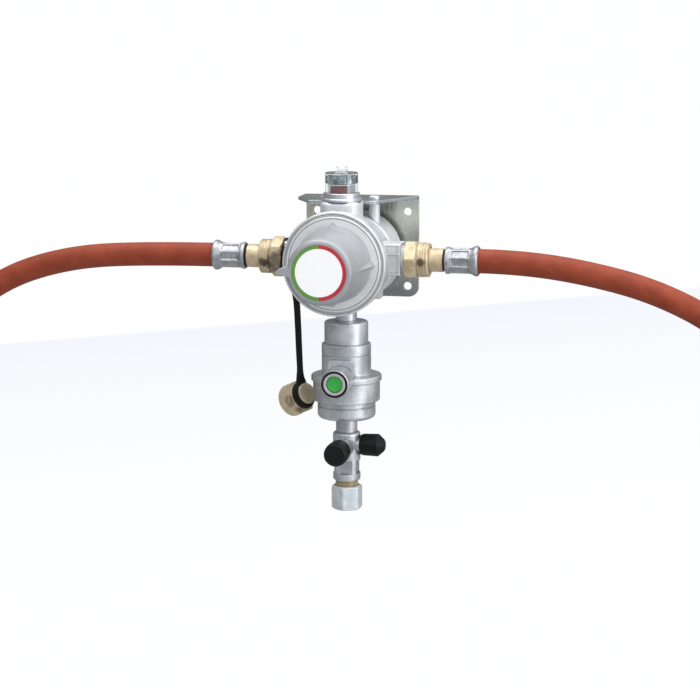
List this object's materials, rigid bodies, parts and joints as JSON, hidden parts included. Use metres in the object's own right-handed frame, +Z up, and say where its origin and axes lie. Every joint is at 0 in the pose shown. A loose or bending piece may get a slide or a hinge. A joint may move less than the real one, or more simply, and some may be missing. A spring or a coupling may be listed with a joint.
{
  "type": "changeover gas regulator with hoses",
  "caption": "Wall-mounted changeover gas regulator with a conical selector knob, rubber hoses on its side inlets, a crash sensor with reset button, and a test valve below.",
  "frame": {"origin": "middle of the bracket's four bolt holes, on the wall face", "axes": "+X to the right along the inlets as seen from the front, +Y into the wall, +Z up"},
  "size_m": [0.6588, 0.1347, 0.3476],
  "materials": {
    "cast_metal": "satin",
    "knob_grey": "satin",
    "zinc_plate": "shiny zinc",
    "zinc_nut": "satin zinc",
    "ferrule_metal": "bright zinc",
    "brass": "turned",
    "hose_rubber": "matte",
    "black_rubber": "matte",
    "label_white": "satin",
    "label_green": "satin",
    "label_red": "satin",
    "button_green": "gloss",
    "bezel_grey": "satin",
    "clear_cap": "clear",
    "indicator_dark": "satin",
    "spring_steel": "drawn wire",
    "ball_steel": "polished"
  },
  "bodies": {
    "regulator": {"wall_bracket": "zinc_plate", "bracket_screws": "zinc_nut", "regulator_body": "cast_metal", "rear_cover": "cast_metal", "rear_cover_screws": "zinc_nut", "outlet_diaphragm": "black_rubber", "outlet_spring": "spring_steel", "changeover_diaphragm": "black_rubber", "cover_clamp_ring": "cast_metal", "front_cover": "cast_metal", "changeover_spring": "spring_steel", "window_collar": "cast_metal", "status_window": "clear_cap", "sensor_upper_housing": "cast_metal", "sensor_lower_housing": "cast_metal", "ball_seat": "brass", "sensor_ball": "ball_steel", "button_bezel": "bezel_grey", "button_seal": "black_rubber", "test_valve_body": "cast_metal", "front_test_nipple": "brass", "side_test_nipple": "brass", "outlet_fitting": "brass", "cutting_ring": "brass", "left_hose_stem": "brass", "left_hose_ferrule": "ferrule_metal", "left_gas_hose": "hose_rubber", "left_end_ferrule": "ferrule_metal", "left_cylinder_stem": "brass", "left_cylinder_seal": "black_rubber", "right_hose_stem": "brass", "right_hose_ferrule": "ferrule_metal", "right_gas_hose": "hose_rubber", "right_end_ferrule": "ferrule_metal", "right_cylinder_stem": "brass", "right_cylinder_seal": "black_rubber"},
    "knob": {"selector_knob": "knob_grey", "selector_spindle": "brass", "knob_screw": "zinc_nut", "label_plate": "label_white", "label_green_half": "label_green", "label_red_half": "label_red"},
    "indicator": {"status_indicator": "indicator_dark"},
    "button": {"reset_button": "button_green"},
    "plunger": {"sensor_plunger": "brass", "sensor_spring": "spring_steel"},
    "adjuster": {"adjusting_screw": "brass"},
    "plate": {"diaphragm_plate": "cast_metal"},
    "left_valve": {"left_inlet_valve": "brass"},
    "right_valve": {"right_inlet_valve": "brass"},
    "left_nut": {"left_union_nut": "brass"},
    "right_nut": {"right_union_nut": "brass"},
    "left_end_nut": {"left_cylinder_nut": "brass"},
    "right_end_nut": {"right_cylinder_nut": "brass"},
    "tube_nut": {"outlet_nut": "zinc_nut"},
    "front_cap": {"front_test_cap": "black_rubber"},
    "side_cap": {"side_test_cap": "black_rubber"},
    "strap": {"retaining_strap": "black_rubber"},
    "spare_cap": {"blind_cap": "brass"}
  },
  "joints": [
    {"name": "selector_turn", "type": "hinge", "parent": "regulator", "child": "knob", "pos_m": [0, -0.1, 0], "axis": [0, 1, 0], "range_deg": [0, 180]},
    {"name": "status_rise", "type": "slide", "parent": "regulator", "child": "indicator", "axis": [0, 0, 1], "range_m": [-0.003, 0.003]},
    {"name": "reset_press", "type": "slide", "parent": "regulator", "child": "button", "axis": [0, 1, 0], "range_m": [0, 0.0025], "stiffness_N_per_m": 400, "springref_m": -0.001},
    {"name": "plunger_lift", "type": "slide", "parent": "regulator", "child": "plunger", "axis": [0, 0, 1], "range_m": [0, 0.002], "deforming": ["sensor_spring"]},
    {"name": "adjuster_turn", "type": "hinge", "parent": "regulator", "child": "adjuster", "pos_m": [0, -0.01, -0.0025], "axis": [0, 1, 0], "continuous": true},
    {"name": "plate_shift", "type": "slide", "parent": "regulator", "child": "plate", "axis": [0, 1, 0], "range_m": [0, 0.0008], "stiffness_N_per_m": 500, "springref_m": -0.0005},
    {"name": "left_valve_shift", "type": "slide", "parent": "regulator", "child": "left_valve", "axis": [0, 1, 0], "range_m": [0, 0.0008]},
    {"name": "right_valve_shift", "type": "slide", "parent": "regulator", "child": "right_valve", "axis": [0, 1, 0], "range_m": [0, 0.0008]},
    {"name": "left_nut_turn", "type": "hinge", "parent": "regulator", "child": "left_nut", "pos_m": [0, -0.057, 0], "axis": [1, 0, 0], "continuous": true},
    {"name": "right_nut_turn", "type": "hinge", "parent": "regulator", "child": "right_nut", "pos_m": [0, -0.057, 0], "axis": [1, 0, 0], "continuous": true},
    {"name": "left_end_nut_turn", "type": "hinge", "parent": "regulator", "child": "left_end_nut", "pos_m": [-0.3152, -0.057, -0.206], "axis": [0, 0, 1], "continuous": true},
    {"name": "right_end_nut_turn", "type": "hinge", "parent": "regulator", "child": "right_end_nut", "pos_m": [0.309, -0.057, -0.232], "axis": [0, 0, 1], "continuous": true},
    {"name": "tube_nut_turn", "type": "hinge", "parent": "regulator", "child": "tube_nut", "pos_m": [0, -0.0545, 0], "axis": [0, 0, 1], "continuous": true},
    {"name": "front_cap_pull", "type": "slide", "parent": "regulator", "child": "front_cap", "axis": [0, -1, 0], "range_m": [0, 0.02]},
    {"name": "side_cap_pull", "type": "slide", "parent": "regulator", "child": "side_cap", "axis": [1, 0, 0], "range_m": [0, 0.02]},
    {"name": "strap_swing", "type": "hinge", "parent": "regulator", "child": "strap", "pos_m": [-0.0404, -0.057, 0], "axis": [1, 0, 0], "range_deg": [0, 20]},
    {"name": "spare_cap_turn", "type": "hinge", "parent": "strap", "child": "spare_cap", "pos_m": [-0.0282, -0.05, -0.0951], "axis": [0.7807, -0.4638, 0.4188], "continuous": true}
  ],
  "couplings": [
    {"joint": "plunger_lift", "follows": "reset_press", "ratio": 0.8},
    {"joint": "left_valve_shift", "follows": "plate_shift", "ratio": 1},
    {"joint": "right_valve_shift", "follows": "plate_shift", "ratio": 1}
  ]
}
